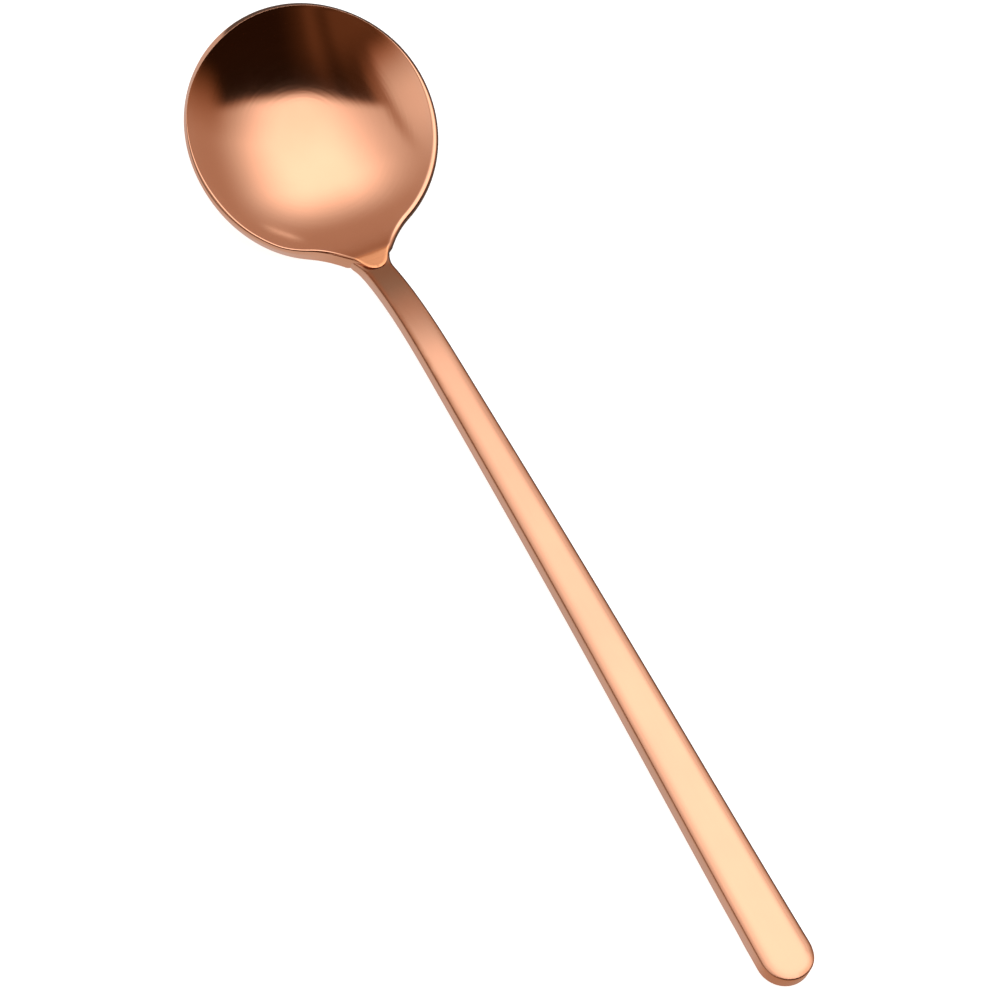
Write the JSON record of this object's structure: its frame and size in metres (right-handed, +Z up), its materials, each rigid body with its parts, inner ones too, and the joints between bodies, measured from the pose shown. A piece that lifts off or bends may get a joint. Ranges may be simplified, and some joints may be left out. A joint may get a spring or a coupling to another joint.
{
  "type": "stirring spoon",
  "caption": "Copper-coloured stirring spoon with a round dished bowl on a long slim flat handle that widens to a full-round tail, the bowl's tongue brazed into the handle's head.",
  "frame": {"origin": "middle of the spoon's length and width, on the surface that it lies on", "axes": "+X along the handle from the bowl to the tail, +Z up out of the bowl, +Y across the bowl"},
  "size_m": [0.15, 0.0356, 0.0132],
  "materials": {
    "bowl_copper": "stainless sheet with a copper-coloured satin polish",
    "handle_copper": "stainless bar with a copper-coloured satin polish",
    "braze_line": "darker line of braze"
  },
  "bodies": {
    "root": {"bowl": "bowl_copper", "handle": "handle_copper", "braze_seam": "braze_line"}
  },
  "joints": []
}
